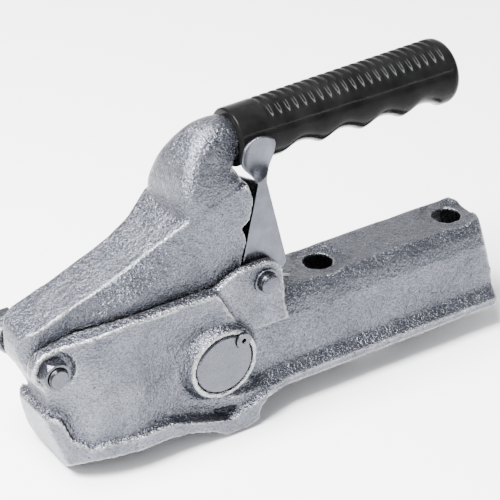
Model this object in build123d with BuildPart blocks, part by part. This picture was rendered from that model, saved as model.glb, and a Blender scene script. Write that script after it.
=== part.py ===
from build123d import *
from math import atan2, cos, degrees, radians, sin, sqrt, tan
import os

# Ball coupling head for a 50 mm towing ball
# Millimetres. Origin at the ball's centre, +X towards the drawbar, +Z up.

# Ball socket
ball_d = 50.0
socket_clearance = 0.25
lip_undercut = 2.5
front_lip_drop = 15.8
side_rim_drop = 4.0
rim_height = 9.0
band_width = 6.0
socket_wall = 6.0

# Head casting
head_half_width = 30.0
bulge_half_width = 33.6
head_rear_x = 70.0
slot_front_half = 13.6
slot_half_width = 21.8
slot_floor_z = 36.0
cheek_top_z = 66.0
nose_sweep_r = 13.0
nose_gap = 0.7

# Handle hinge
lever_axis_x = -35.0
lever_axis_z = 49.2
cheek_corner_r = 10.0
lever_boss_half = 20.6
lever_seat_r = 10.6
lever_bolt_d = 10.0
lever_bolt_hole_clearance = 0.06
lever_nut_af = 14.0
lever_nut_height = 6.0
lever_bolt_stick_out = 1.8
bolt_end_chamfer = 0.8
nut_corner_angle = 20.0
lever_head_height = 6.4
lever_washer_d = 17.0
lever_washer_thickness = 2.0
lever_bush_wall = 1.5
lever_side_gap = 0.5

# Jaw and its pin
jaw_axis_x = 51.2
jaw_axis_z = 27.2
jaw_pin_d = 20.0
jaw_pin_head_d = 31.6
jaw_pin_head_thickness = 6.0
jaw_boss_r = 18.2
jaw_boss_flare = 5.5
jaw_boss_height = 12.0
jaw_pin_chamfer = 1.2
jaw_boss_half_width = 33.0
jaw_bush_wall = 2.0
jaw_hub_r = 17.0
jaw_half_width = 9.0
jaw_slot_half_width = 15.4
jaw_slot_front_x = 6.0
jaw_slot_rear_gap = 2.0
jaw_ball_gap = 0.3
jaw_lip_angle = 36.0
jaw_lip_thickness = 8.5
jaw_lip_slant = 10.0
tail_top_z = 60.0
tail_front_x = 34.0
tail_foot_z = 43.0
tail_width = 9.0
running_gap = 0.05
lock_pin_d = 8.0
lock_pin_bore_d = 2.4
lock_pin_angle = 46.6
lock_pin_offset = 14.6
lock_pin_length = 12.0
lock_pin_stick_out = 1.0

# Shank for the drawbar
shank_top_z = 43.2
shank_flat_half = 13.0
shank_shoulder_half = 20.5
shank_side_half = 23.5
shank_flange_half = 30.0
shank_bottom_z = -1.5
shank_flange_thickness = 5.0
flange_start_x = 22.0
shank_start_x = 40.0
shank_end_x = 222.7
rear_lean = 3.0
rear_corner_height = 26.0
rear_corner_taper = 14.0
channel_half_width = 15.5
channel_roof_z = 32.2
channel_start_x = 82.0
drawbar_hole_d = 14.5
drawbar_hole_x = 127.0
drawbar_hole_spacing = 80.0
spot_face_d = 27.0
spot_face_depth = 1.1

# Trigger and its pin
trigger_axis_x = 78.5
trigger_axis_z = 61.8
trigger_pin_d = 10.0
trigger_pin_chamfer = 0.8
trigger_pin_reach = 32.0
trigger_sheet = 2.2
trigger_side_gap = 0.25
web_top_z = 112.0
web_top_fall = 11.0
trigger_washer_thickness = 1.2
trigger_washer_d = 17.0
ear_half_width = 26.5
ear_r = 10.3
clip_thickness = 1.2
clip_d = 13.4

# Handle casting and grip
lever_wall = 4.5
lever_slot_depth = 1.5
lever_bush_end_gap = 0.8
hood_half_width = 21.0
grip_axis_z = 128.5
neck_r = 11.4
grip_start_x = 73.8
grip_end_x = 200.6
grip_front_r = 14.4
grip_rear_r = 16.8
grip_rear_fillet = 6.0
finger_pitch = 23.6
finger_first_x = 109.6
finger_depth = 3.8
finger_fade = 4.6
rib_count = 22
rib_pitch = 4.7
rib_first_x = 92.0
rib_depth = 1.1
rib_angle = 40.0
rib_width = 2.6
finger_count = 4
tang_r = 8.0
tang_end_x = 190.0
web_half_width = 7.0
wedge_top_z = 61.0
wedge_half_width = 7.0
wedge_angle = 12.0
wedge_gap = 0.4
wedge_stem_half = 3.0
stem_x = 22.0
stem_height = 12.0
stem_length = 14.0
wedge_rivet_spacing = 7.0
wedge_rivet_d = 4.0
rivet_head_d = 7.0
rivet_head = 1.5

# Springs
jaw_wire_d = 2.2
jaw_coil_r = 13.5
trigger_wire_d = 1.6
trigger_coil_r = 6.3
trigger_coil_y = -12.0
trigger_turns = 2
leg_foot_x = 106.0

# Catch in the trigger
catch_half = 9.0
catch_tooth_half = 6.0
catch_thickness = 3.0
catch_z = 89.3
catch_tooth_height = 3.2
catch_reach = 2.8
catch_rivet_d = 4.0
catch_rivet_spacing = 10.0
catch_rivet_drop = 6.8

ball_r = ball_d / 2
socket_r = ball_r + socket_clearance
jaw_pin_r = jaw_pin_d / 2
lever_bush_r = lever_bolt_d / 2 + lever_bush_wall
nose_half = slot_front_half - lever_side_gap
trigger_half = slot_half_width - trigger_side_gap - trigger_washer_thickness
lever_bottom_z = cheek_top_z - lever_slot_depth
stem_centre = (stem_x, wedge_top_z + stem_height / 2)
rivet_xs = (stem_x - wedge_rivet_spacing / 2, stem_x + wedge_rivet_spacing / 2)
jaw_boss_taper = degrees(atan2(jaw_boss_flare, jaw_boss_height))
beyond = 400.0

parts_made = []


def finish(builder, label):
    builder.part.label = label
    parts_made.append(builder.part)


def across(x, z):
    """Plane with its origin on an axis that runs across the coupling."""
    return Plane(origin=(x, 0, z), x_dir=(1, 0, 0), z_dir=(0, -1, 0))


def plan_outline(front, shoulder, side_half, valley, rear_half):
    """Closed outline of the head seen from above, symmetric about the X axis."""
    near = [
        (front[0], -front[1]),
        (shoulder[0], -shoulder[1]),
        (0, -side_half),
        (valley[0], -valley[1]),
        (jaw_axis_x, -rear_half),
        (head_rear_x, -rear_half),
    ]
    far = [(x, -y) for x, y in reversed(near)]
    Spline(*near)
    Line(near[-1], far[0])
    Spline(*far)
    Line(far[-1], near[0])


# Space between the cheeks for the handle's nose and hood
with BuildPart() as lever_slot:
    with BuildSketch(Plane.XZ):
        with BuildLine():
            Polyline(
                (lever_axis_x - 40, cheek_top_z + 20),
                (lever_axis_x - 40, lever_axis_z),
                (lever_axis_x, lever_axis_z),
                (lever_axis_x + 12, slot_floor_z),
                (trigger_axis_x - 10, slot_floor_z),
                (trigger_axis_x + 4, shank_top_z),
                (trigger_axis_x + 40, shank_top_z),
                (trigger_axis_x + 40, cheek_top_z + 20),
                close=True,
            )
        make_face()
        with Locations((lever_axis_x, lever_axis_z)):
            Circle(nose_sweep_r + nose_gap)
    extrude(amount=slot_half_width, both=True)
    with BuildSketch(Plane.XY):
        with BuildLine():
            Polyline(
                (lever_axis_x - 40, 0),
                (lever_axis_x - 40, -slot_front_half),
                (lever_axis_x + 13, -slot_front_half),
                (lever_axis_x + 39, -slot_half_width),
                (trigger_axis_x + 40, -slot_half_width),
                (trigger_axis_x + 40, 0),
            )
            mirror(about=Plane.XZ)
        make_face()
    extrude(amount=beyond, both=True, mode=Mode.INTERSECT)

# Coupling body: one casting
head_sections = [
    (-18.0, (-24.0, 12.0), (-18.5, 24.5), 29.8, (28.0, 27.5), 26.5),
    (8.0, (-33.0, 8.0), (-24.5, 21.5), 30.8, (27.0, 26.0), 26.0),
    (24.0, (-33.5, 6.0), (-27.5, 19.0), 31.0, (21.0, 25.6), 26.5),
    (40.0, (-43.0, 11.0), (-31.0, 20.5), 30.2, (16.5, 26.0), 27.5),
    (55.0, (-46.0, 14.0), (-31.0, 21.0), 29.0, (16.0, 27.8), 29.0),
    (72.0, (-48.0, 17.0), (-31.5, 21.5), 28.4, (16.0, 29.2), head_half_width),
]
band_sections = [
    (-18.0, (-27.0, 12.0), (-21.5, 25.2), bulge_half_width - 0.6),
    (6.0, (-36.0, 10.0), (-26.5, 23.4), bulge_half_width),
    (22.0, (-38.5, 9.0), (-29.0, 21.0), bulge_half_width - 1.0),
]
front_profile = [
    (-36.0, 17.0),
    (-32.8, 5.0),
    (-29.4, -5.0),
    (-25.5, -front_lip_drop),
]

# Raised band round the mouth of the socket: up the front lip and along both sides
with BuildPart() as mouth_band:
    for height, front, shoulder, side_half in band_sections:
        with BuildSketch(Plane.XY.offset(height)):
            with BuildLine():
                plan_outline(front, shoulder, side_half, (flange_start_x, side_half), side_half)
            make_face()
    loft()
    with BuildSketch(Plane.XZ):
        with BuildLine():
            Polyline(
                *front_profile,
                (flange_start_x, -front_lip_drop),
                (flange_start_x, rim_height - side_rim_drop),
                (-12.0, rim_height - side_rim_drop),
                (-19.0, rim_height - side_rim_drop - 2.0),
                (-23.0, rim_height - side_rim_drop + 1.0),
                (front_profile[1][0] + band_width, front_profile[1][1] + 3.0),
                (front_profile[0][0] + band_width, front_profile[0][1] + 1.5),
                (front_profile[0][0] + 2.0, front_profile[0][1] + 2.0),
                close=True,
            )
        make_face()
    extrude(amount=beyond, both=True, mode=Mode.INTERSECT)

# Shank section, extruded along the drawbar, its flange growing out of the head's side
with BuildPart() as shank:
    with BuildSketch(Plane.YZ.offset(shank_start_x)):
        with BuildLine():
            Polyline(
                (0, shank_top_z),
                (shank_flat_half, shank_top_z),
                (shank_flat_half + 4.5, shank_top_z - 5.6),
                (shank_shoulder_half, shank_top_z - 12),
                (shank_side_half, shank_bottom_z + shank_flange_thickness + 5),
                (shank_flange_half, shank_bottom_z + shank_flange_thickness),
                (shank_flange_half, shank_bottom_z),
                (0, shank_bottom_z),
            )
            mirror(about=Plane.YZ)
        make_face()
    extrude(amount=shank_end_x - shank_start_x)
    with BuildSketch(Plane.XY):
        with BuildLine():
            Polyline(
                (shank_start_x, 0),
                (shank_start_x, -shank_side_half - 2),
                (jaw_axis_x + 10, -shank_flange_half),
                (shank_end_x, -shank_flange_half),
                (shank_end_x, 0),
            )
            mirror(about=Plane.XZ)
        make_face()
    extrude(amount=beyond, both=True, mode=Mode.INTERSECT)

with BuildPart() as coupling_body:
    for height, *outline in head_sections:
        with BuildSketch(Plane.XY.offset(height)):
            with BuildLine():
                plan_outline(*outline)
            make_face()
    loft()
    Sphere(socket_r + socket_wall)

    # Side view of the head: cheek corner, waist, front, slanted rear edge
    with BuildSketch(Plane.XZ):
        with BuildLine():
            cheek_arc = CenterArc(
                (lever_axis_x, lever_axis_z), cheek_corner_r, start_angle=100, arc_size=85
            )
            Polyline(
                cheek_arc @ 1,
                (-39.5, 40.0),
                (-34.8, 31.0),
                (-32.0, 23.0),
                (-33.5, 17.0),
                (-29.8, 5.0),
                (-26.4, -5.0),
                (-22.5, -front_lip_drop),
                (head_rear_x, -front_lip_drop),
                (head_rear_x, 20.0),
                (67.0, 34.6),
                (49.7, cheek_top_z),
                (4.0, cheek_top_z),
                (-11.0, cheek_top_z - 2.3),
                cheek_arc @ 0,
            )
        make_face()
    extrude(amount=beyond, both=True, mode=Mode.INTERSECT)
    add(mouth_band.part)

    # Rim of the socket: low at the front lip, higher at both sides
    with BuildSketch(Plane.YZ):
        with BuildLine():
            rim = Spline(
                (-bulge_half_width - 2, -side_rim_drop + 0.6),
                (-30, -side_rim_drop),
                (-25, -side_rim_drop - 1.6),
                (-18, -side_rim_drop - 6),
                (-10, -front_lip_drop + 1),
                (0, -front_lip_drop),
                (10, -front_lip_drop + 1),
                (18, -side_rim_drop - 6),
                (25, -side_rim_drop - 1.6),
                (30, -side_rim_drop),
                (bulge_half_width + 2, -side_rim_drop + 0.6),
            )
            Polyline(rim @ 1, (beyond, -side_rim_drop), (beyond, -beyond), (-beyond, -beyond),
                     (-beyond, -side_rim_drop), rim @ 0)
        make_face()
    extrude(amount=beyond, both=True, mode=Mode.SUBTRACT)

    # Flat seats of the hinge bolt's head and nut
    with BuildSketch(across(lever_axis_x, lever_axis_z)):
        Circle(cheek_corner_r)
    extrude(amount=lever_boss_half, both=True)
    for side in (-1, 1):
        with BuildSketch(across(lever_axis_x, lever_axis_z).offset(side * lever_boss_half)):
            Circle(lever_seat_r)
        extrude(amount=side * head_half_width, mode=Mode.SUBTRACT)

    add(shank.part)

    # Ears of the trigger pin, rising behind the cheeks
    with BuildSketch(Plane.XZ):
        with BuildLine():
            Polyline(
                (jaw_axis_x, shank_top_z - 8),
                (jaw_axis_x - 6, cheek_top_z),
                (jaw_axis_x, cheek_top_z),
                (trigger_axis_x - 18, trigger_axis_z + ear_r - 1.6),
                (trigger_axis_x - 12, trigger_axis_z + ear_r),
                (trigger_axis_x, trigger_axis_z + ear_r),
                (trigger_axis_x, trigger_axis_z),
                (trigger_axis_x + ear_r, trigger_axis_z),
                (trigger_axis_x + ear_r + 1.5, shank_top_z),
                (trigger_axis_x + ear_r + 4, shank_top_z - 8),
                close=True,
            )
        make_face()
        with Locations((trigger_axis_x, trigger_axis_z)):
            Circle(ear_r)
    extrude(amount=ear_half_width, both=True)

    # Boss of the jaw pin, flaring into the head
    for side in (-1, 1):
        with BuildSketch(across(jaw_axis_x, jaw_axis_z).offset(side * jaw_boss_half_width)):
            Circle(jaw_boss_r)
        extrude(amount=-side * jaw_boss_height, taper=-jaw_boss_taper)

    # Bottom flange with its foot
    with BuildSketch(Plane.XZ):
        with BuildLine():
            Polyline(
                (flange_start_x, -side_rim_drop),
                (32.0, -side_rim_drop - 1.4),
                (43.2, -side_rim_drop - 5.2),
                (52.3, -side_rim_drop - 10.7),
                (65.0, -side_rim_drop - 9.8),
                (70.7, -side_rim_drop - 8.2),
                (71.6, shank_bottom_z - 3.5),
                (75.5, shank_bottom_z),
                (100.0, shank_bottom_z),
                (100.0, shank_bottom_z + shank_flange_thickness),
                (80.0, shank_bottom_z + shank_flange_thickness),
                (68.0, -side_rim_drop + 3.0),
                (54.0, -side_rim_drop - 1.5),
                (36.0, -side_rim_drop + 4.0),
                (flange_start_x, rim_height - side_rim_drop),
                close=True,
            )
        make_face()
    extrude(amount=bulge_half_width, both=True)

    # Rounded rear end and narrowing of the flange, seen from above
    with BuildSketch(Plane.XY.offset(-60)):
        with BuildLine():
            tail = ThreePointArc(
                (shank_end_x - 3, -shank_flange_half),
                (shank_end_x, 0),
                (shank_end_x - 3, shank_flange_half),
            )
            Polyline(
                tail @ 1,
                (88, shank_flange_half),
                (72, bulge_half_width + 1),
                (-100, bulge_half_width + 1),
                (-100, -bulge_half_width - 1),
                (72, -bulge_half_width - 1),
                (88, -shank_flange_half),
                tail @ 0,
            )
        make_face()
    extrude(amount=200, mode=Mode.INTERSECT)

    # Rear end: leans forward at the top, upper corners rounded off
    with BuildSketch(Plane.XZ):
        with BuildLine():
            Polyline(
                (shank_end_x, shank_bottom_z + 10),
                (shank_end_x - rear_lean, shank_top_z + 1),
                (shank_end_x + 10, shank_top_z + 1),
                close=True,
            )
        make_face()
    extrude(amount=beyond, both=True, mode=Mode.SUBTRACT)
    with BuildSketch(Plane.XY.offset(shank_top_z)):
        with BuildLine():
            corner = ThreePointArc(
                (shank_end_x - 16, -shank_side_half),
                (shank_end_x - 6.5, -16.5),
                (shank_end_x - rear_lean, -9),
            )
            Polyline(
                corner @ 1,
                (shank_end_x + 20, -9),
                (shank_end_x + 20, -shank_side_half - 20),
                (shank_end_x - 16, -shank_side_half - 20),
                corner @ 0,
            )
        make_face()
        mirror(about=Plane.XZ)
    extrude(amount=-rear_corner_height, taper=rear_corner_taper, mode=Mode.SUBTRACT)

    # Ball socket, open below, set back so that the front lip holds the ball
    Sphere(socket_r, mode=Mode.SUBTRACT)
    with BuildSketch(Plane.XY):
        with Locations((lip_undercut, 0)):
            Circle(socket_r)
    extrude(amount=-60, mode=Mode.SUBTRACT)

    add(lever_slot.part, mode=Mode.SUBTRACT)

    # Slot of the jaw, through the rear wall of the socket
    with BuildSketch(Plane.XZ):
        with BuildLine():
            Polyline(
                (jaw_slot_front_x, -60),
                (jaw_slot_front_x, slot_floor_z + 5),
                (jaw_axis_x + jaw_hub_r + jaw_slot_rear_gap, slot_floor_z + 5),
                (jaw_axis_x + jaw_hub_r + jaw_slot_rear_gap, -60),
                close=True,
            )
        make_face()
    extrude(amount=jaw_slot_half_width, both=True, mode=Mode.SUBTRACT)

    # Drawbar channel, open below and behind
    with BuildSketch(Plane.YZ.offset(channel_start_x)):
        with Locations((0, (channel_roof_z - 60) / 2)):
            Rectangle(2 * channel_half_width, channel_roof_z + 60)
    extrude(amount=beyond, mode=Mode.SUBTRACT)

    # Bores
    with Locations(across(lever_axis_x, lever_axis_z)):
        Hole(lever_bolt_d / 2 + lever_bolt_hole_clearance)
    with Locations(across(jaw_axis_x, jaw_axis_z)):
        Hole(jaw_pin_r)
    with BuildSketch(across(jaw_axis_x, jaw_axis_z).offset(jaw_boss_half_width - jaw_pin_head_thickness)):
        Circle(jaw_pin_head_d / 2)
    extrude(amount=beyond, mode=Mode.SUBTRACT)
    with BuildSketch(across(jaw_axis_x, jaw_axis_z).offset(jaw_boss_half_width + lock_pin_stick_out)):
        with PolarLocations(lock_pin_offset, 1, start_angle=lock_pin_angle):
            Circle(lock_pin_d / 2)
    extrude(amount=-lock_pin_length, mode=Mode.SUBTRACT)
    with Locations(across(trigger_axis_x, trigger_axis_z)):
        Hole(trigger_pin_d / 2)
    with BuildSketch(Plane.XY.offset(shank_top_z)):
        with Locations((drawbar_hole_x, 0), (drawbar_hole_x + drawbar_hole_spacing, 0)):
            Circle(drawbar_hole_d / 2)
    extrude(amount=-60, mode=Mode.SUBTRACT)
    with BuildSketch(Plane.XY.offset(shank_top_z)):
        with Locations((drawbar_hole_x, 0), (drawbar_hole_x + drawbar_hole_spacing, 0)):
            Circle(spot_face_d / 2)
    extrude(amount=-spot_face_depth, mode=Mode.SUBTRACT)
finish(coupling_body, "coupling_body")


# Handle: hollow cast hood with a swelling neck and a tang for the grip
hood_stations = [
    (-21.5, 61.0, 63.5, 73.1, nose_half, nose_half - 0.4),
    (-4.0, lever_bottom_z - 1.0, 68.0, 79.2, hood_half_width - 2.3, 13.2),
    (6.0, lever_bottom_z, 71.0, 83.2, hood_half_width, 13.2),
    (16.0, lever_bottom_z, 74.3, 87.7, hood_half_width, 13.3),
    (27.0, lever_bottom_z, 77.8, 93.6, hood_half_width, 14.4),
    (39.0, lever_bottom_z, 81.6, 102.5, hood_half_width, 19.0),
    (50.0, lever_bottom_z, 85.4, 106.5, hood_half_width, 20.3),
    (80.0, lever_bottom_z, 95.0, 115.5, hood_half_width, 20.7),
]
# Neck: each section leans on the line from its front point to its rear point
neck_sections = [
    ((39.4, 99.4), (71.0, 108.4), 19.4, 6.0),
    ((39.6, 113.0), (72.0, 115.6), 18.8, 7.0),
    ((45.4, 127.6), (72.0, 116.8), 15.4, 8.5),
    ((57.6, 139.0), (72.6, 117.2), 12.4, 10.5),
]


def hood_section(inset, bottom, crease, top, side_half, top_half):
    """Half hexagon of the hood, open below once its inside is cut out."""
    side = side_half - inset
    Polyline(
        (side, bottom),
        (side, crease),
        (top_half - inset, top - inset),
        (inset - top_half, top - inset),
        (-side, crease),
        (-side, bottom),
        close=True,
    )


with BuildPart() as hood_core:
    for x, bottom, crease, top, side_half, top_half in hood_stations[1:6]:
        with BuildSketch(Plane.YZ.offset(x)):
            with BuildLine():
                hood_section(lever_wall, bottom - 20, crease, top, side_half, top_half)
            make_face()
    loft(ruled=True)

with BuildPart() as lever_nose:
    with BuildSketch(Plane.XZ):
        with BuildLine():
            Polyline(
                (-20.0, 73.6),
                (-24.0, 72.2),
                (-32.0, 69.2),
                (-37.5, 67.4),
                (-41.5, 65.8),
                (-44.4, 62.6),
                (-45.6, 57.0),
                (-44.6, 50.0),
                (-42.2, 43.5),
                (-37.0, 39.2),
                (-29.0, 40.6),
                (-24.6, 46.0),
                (-20.0, 62.0),
                close=True,
            )
        make_face()
    extrude(amount=nose_half, both=True)
    with BuildSketch(Plane.XY):
        with BuildLine():
            front = Spline(
                (-33, -nose_half), (-39.5, -nose_half + 0.9), (-44.0, -8.5), (-46, 0),
                (-44.0, 8.5), (-39.5, nose_half - 0.9), (-33, nose_half),
            )
            Polyline(front @ 1, (-10, nose_half), (-10, -nose_half), front @ 0)
        make_face()
    extrude(amount=beyond, both=True, mode=Mode.INTERSECT)

with BuildPart() as handle_lever:
    for x, bottom, crease, top, side_half, top_half in hood_stations:
        with BuildSketch(Plane.YZ.offset(x)):
            with BuildLine():
                hood_section(0, bottom, crease, top, side_half, top_half)
            make_face()
    loft(ruled=True)

    # Nose over the front, between the cheeks
    add(lever_nose.part)

    # Rear edge with the tooth and the notch of the catch
    with BuildSketch(Plane.XZ):
        with BuildLine():
            Polyline(
                (66.0, cheek_top_z - 10),
                (66.0, lever_bottom_z),
                (71.3, 82.5),
                (71.0, 86.5),
                (68.8, 91.0),
                (73.2, 94.0),
                (75.3, 103.8),
                (73.0, 113.5),
                (66.0, 117.5),
                (66.0, 160.0),
                (130.0, 160.0),
                (130.0, cheek_top_z - 10),
                close=True,
            )
        make_face()
    extrude(amount=beyond, both=True, mode=Mode.SUBTRACT)

    # Neck that curls up from the hood and turns back to the grip
    for front, rear, half_width, corner in neck_sections:
        slope = atan2(rear[1] - front[1], rear[0] - front[0])
        length = sqrt((rear[0] - front[0]) ** 2 + (rear[1] - front[1]) ** 2)
        leaning = Plane(
            origin=((front[0] + rear[0]) / 2, 0, (front[1] + rear[1]) / 2),
            x_dir=(cos(slope), 0, sin(slope)),
            z_dir=(-sin(slope), 0, cos(slope)),
        )
        with BuildSketch(leaning):
            RectangleRounded(length, 2 * half_width, corner)
    with BuildSketch(Plane(origin=(grip_start_x, 0, grip_axis_z), x_dir=(0, 0, -1), z_dir=(1, 0, 0))):
        RectangleRounded(2 * neck_r, 2 * neck_r, neck_r - 0.1)
    loft()
    add(hood_core.part, mode=Mode.SUBTRACT)

    # Tang inside the grip
    with BuildSketch(Plane.YZ.offset(grip_start_x - 2)):
        with Locations((0, grip_axis_z)):
            Circle(tang_r)
    extrude(amount=tang_end_x - grip_start_x + 2)

    # Web that carries the wedge's stem between two rivets
    with BuildSketch(Plane.XZ):
        with BuildLine():
            Polyline(
                (-24.0, 62.0),
                (-24.0, 70.0),
                (6.0, 80.0),
                (27.0, 91.0),
                (32.6, 92.0),
                (32.6, wedge_top_z),
                (8.0, wedge_top_z),
                close=True,
            )
        make_face()
    extrude(amount=web_half_width, both=True)
    with BuildSketch(Plane.XZ):
        with Locations(stem_centre):
            Rectangle(stem_length, stem_height)
    extrude(amount=wedge_stem_half, both=True, mode=Mode.SUBTRACT)
    for x in rivet_xs:
        with BuildSketch(across(x, stem_centre[1])):
            Circle(wedge_rivet_d / 2)
        extrude(amount=web_half_width, both=True, mode=Mode.SUBTRACT)
    with Locations(across(lever_axis_x, lever_axis_z)):
        Hole(lever_bush_r)
finish(handle_lever, "handle_lever")


# Grip: moulded over the tang, ribbed on top, four finger grooves below
finger_r = (finger_pitch ** 2 / 4 + finger_depth ** 2) / (2 * finger_depth)


def grip_radius(x):
    """Radius of the tapered grip at a place along it."""
    share = (x - grip_start_x) / (grip_end_x - grip_start_x)
    return grip_front_r + (grip_rear_r - grip_front_r) * share


rib_plane = Plane(
    origin=(0, 0, grip_axis_z),
    x_dir=(1, 0, 0),
    z_dir=(0, -cos(radians(rib_angle)), sin(radians(rib_angle))),
)

with BuildPart() as handle_grip:
    with BuildSketch(Plane.XZ):
        with BuildLine():
            Polyline(
                (grip_start_x, grip_axis_z),
                (grip_start_x, grip_axis_z + grip_front_r),
                (grip_end_x, grip_axis_z + grip_rear_r),
                (grip_end_x, grip_axis_z),
                close=True,
            )
        make_face()
    revolve(axis=Axis((0, 0, grip_axis_z), (1, 0, 0)))
    fillet(handle_grip.edges().filter_by(GeomType.CIRCLE).sort_by(Axis.X)[-1], grip_rear_fillet)
    fillet(handle_grip.edges().filter_by(GeomType.CIRCLE).sort_by(Axis.X)[0], 1.2)
    for count in range(finger_count):
        x = finger_first_x + count * finger_pitch
        floor_r = grip_radius(x) - finger_depth + finger_fade
        with Locations(Plane(origin=(x, 0, grip_axis_z + finger_fade), z_dir=(1, 0, 0))):
            Torus(floor_r + finger_r, finger_r, mode=Mode.SUBTRACT)
    with BuildSketch(rib_plane):
        for count in range(rib_count):
            x = rib_first_x + count * rib_pitch
            with Locations((x, grip_radius(x))):
                Rectangle(rib_pitch - rib_width, 2 * rib_depth)
    revolve(axis=Axis((0, 0, grip_axis_z), (1, 0, 0)), revolution_arc=2 * rib_angle, mode=Mode.SUBTRACT)
    with BuildSketch(Plane.YZ.offset(grip_start_x)):
        with Locations((0, grip_axis_z)):
            Circle(tang_r)
    extrude(amount=tang_end_x - grip_start_x, mode=Mode.SUBTRACT)
finish(handle_grip, "handle_grip")


# Hinge of the handle
bolt_head_plane = Plane.XZ.offset(-lever_boss_half - lever_washer_thickness)
bolt_length = 2 * lever_boss_half + lever_washer_thickness + lever_nut_height + lever_bolt_stick_out
with BuildPart() as lever_bolt:
    with BuildSketch(bolt_head_plane):
        with Locations((lever_axis_x, lever_axis_z)):
            RegularPolygon(lever_nut_af / 2, 6, major_radius=False)
    extrude(amount=-lever_head_height)
    with BuildSketch(bolt_head_plane):
        with Locations((lever_axis_x, lever_axis_z)):
            Circle(lever_bolt_d / 2)
    extrude(amount=bolt_length)
    chamfer(lever_bolt.faces().sort_by(Axis.Y)[0].edges(), bolt_end_chamfer)
finish(lever_bolt, "lever_bolt")

with BuildPart() as lever_nut:
    with BuildSketch(Plane.XZ.offset(lever_boss_half)):
        with Locations((lever_axis_x, lever_axis_z)):
            RegularPolygon(lever_nut_af / 2, 6, major_radius=False)
    extrude(amount=lever_nut_height)
    with BuildSketch(across(lever_axis_x, lever_axis_z).offset(lever_boss_half + lever_nut_height)):
        Circle(lever_nut_af / 2 * 0.97)
    extrude(amount=-lever_nut_height, taper=-nut_corner_angle, mode=Mode.INTERSECT)
    with BuildSketch(across(lever_axis_x, lever_axis_z).offset(lever_boss_half)):
        Circle(lever_bolt_d / 2)
    extrude(amount=lever_nut_height, mode=Mode.SUBTRACT)
finish(lever_nut, "lever_nut")

with BuildPart() as lever_washer:
    with BuildSketch(Plane.XZ.offset(-lever_boss_half)):
        with Locations((lever_axis_x, lever_axis_z)):
            Circle(lever_washer_d / 2)
            Circle(lever_bolt_d / 2, mode=Mode.SUBTRACT)
    extrude(amount=-lever_washer_thickness)
finish(lever_washer, "lever_washer")

with BuildPart() as lever_bush:
    with BuildSketch(across(lever_axis_x, lever_axis_z)):
        Circle(lever_bush_r)
        Circle(lever_bolt_d / 2 + running_gap, mode=Mode.SUBTRACT)
    extrude(amount=nose_half - lever_bush_end_gap, both=True)
finish(lever_bush, "lever_bush")


# Jaw: hub on the pin, seat behind and under the ball, tail under the handle
def on_circle(radius, angle):
    """Point of a circle about the ball's centre, in the side view."""
    return (radius * cos(radians(angle)), radius * sin(radians(angle)))


jaw_seat_r = socket_r + jaw_ball_gap
wedge_slope = tan(radians(wedge_angle))

with BuildPart() as ball_jaw:
    with BuildSketch(Plane.XZ):
        with BuildLine():
            seat = ThreePointArc(
                on_circle(jaw_seat_r, 14),
                on_circle(jaw_seat_r, -10),
                on_circle(jaw_seat_r, -jaw_lip_angle),
            )
            Polyline(
                seat @ 1,
                on_circle(jaw_seat_r + jaw_lip_thickness, -jaw_lip_angle + jaw_lip_slant),
                (jaw_axis_x - 6, jaw_axis_z - jaw_hub_r - 7),
                (jaw_axis_x + 8, jaw_axis_z - jaw_hub_r + 2),
                (jaw_axis_x, jaw_axis_z),
                (tail_front_x + tail_width + 6, tail_foot_z + 4),
                (tail_front_x + tail_width - 1, tail_top_z - 3),
                (tail_front_x + 4, tail_top_z),
                (tail_front_x, tail_top_z - 2),
                (tail_front_x - (tail_top_z - 2 - tail_foot_z) * wedge_slope, tail_foot_z),
                seat @ 0,
            )
        make_face()
        with Locations((jaw_axis_x, jaw_axis_z)):
            Circle(jaw_hub_r)
    extrude(amount=jaw_half_width, both=True)
    Sphere(jaw_seat_r, mode=Mode.SUBTRACT)
    with Locations(across(jaw_axis_x, jaw_axis_z)):
        Hole(jaw_pin_r + jaw_bush_wall)
finish(ball_jaw, "ball_jaw")

with BuildPart() as jaw_bush:
    with BuildSketch(across(jaw_axis_x, jaw_axis_z)):
        Circle(jaw_pin_r + jaw_bush_wall)
        Circle(jaw_pin_r + running_gap, mode=Mode.SUBTRACT)
    extrude(amount=jaw_half_width, both=True)
finish(jaw_bush, "jaw_bush")

with BuildPart() as jaw_pin:
    with BuildSketch(across(jaw_axis_x, jaw_axis_z).offset(jaw_boss_half_width)):
        Circle(jaw_pin_head_d / 2)
    extrude(amount=-jaw_pin_head_thickness)
    chamfer(jaw_pin.faces().sort_by(Axis.Y)[0].edges(), jaw_pin_chamfer)
    with BuildSketch(across(jaw_axis_x, jaw_axis_z)):
        Circle(jaw_pin_r)
    extrude(amount=jaw_boss_half_width - jaw_pin_head_thickness)
    with BuildSketch(across(jaw_axis_x, jaw_axis_z)):
        Circle(jaw_pin_r)
    extrude(amount=-jaw_boss_half_width)
    with BuildSketch(across(jaw_axis_x, jaw_axis_z).offset(jaw_boss_half_width + lock_pin_stick_out)):
        with PolarLocations(lock_pin_offset, 1, start_angle=lock_pin_angle):
            Circle(lock_pin_d / 2)
    extrude(amount=-lock_pin_length, mode=Mode.SUBTRACT)
finish(jaw_pin, "jaw_pin")

with BuildPart() as jaw_pin_lock:
    with BuildSketch(across(jaw_axis_x, jaw_axis_z).offset(jaw_boss_half_width + lock_pin_stick_out)):
        with PolarLocations(lock_pin_offset, 1, start_angle=lock_pin_angle):
            Circle(lock_pin_d / 2)
            Circle(lock_pin_bore_d / 2, mode=Mode.SUBTRACT)
    extrude(amount=-lock_pin_length)
finish(jaw_pin_lock, "jaw_pin_lock")

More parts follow.
